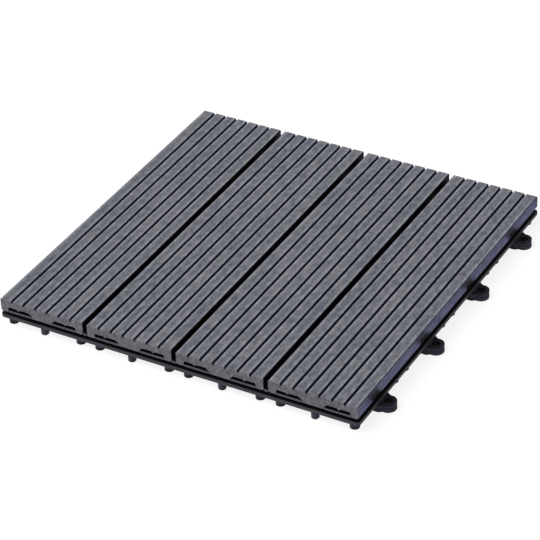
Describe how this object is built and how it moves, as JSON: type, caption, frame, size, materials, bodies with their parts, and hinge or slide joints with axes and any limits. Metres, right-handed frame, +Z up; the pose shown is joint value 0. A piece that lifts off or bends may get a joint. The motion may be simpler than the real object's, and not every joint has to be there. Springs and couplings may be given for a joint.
{
  "type": "interlocking deck tile",
  "caption": "Square interlocking outdoor deck tile: grooved composite slats screwed to a moulded plastic grid with round feet, edge pegs and edge loops.",
  "frame": {"origin": "middle of the whole outline, loops included, on the floor under the feet", "axes": "+Z up out of the walking surface; slats run along Y; loops stand out on +X and +Y, pegs hang under -X and -Y"},
  "size_m": [0.3104, 0.3104, 0.023],
  "materials": {
    "grid_plastic": "black moulded polypropylene, fine matte texture",
    "slat_composite": "grey wood-plastic composite, brushed along the slat",
    "screw_steel": "zinc plated steel, cross recess in the head"
  },
  "bodies": {
    "root": {"base_grid": "grid_plastic", "slat_1": "slat_composite", "slat_2": "slat_composite", "slat_3": "slat_composite", "slat_4": "slat_composite", "slat_screws": "screw_steel"}
  },
  "joints": []
}
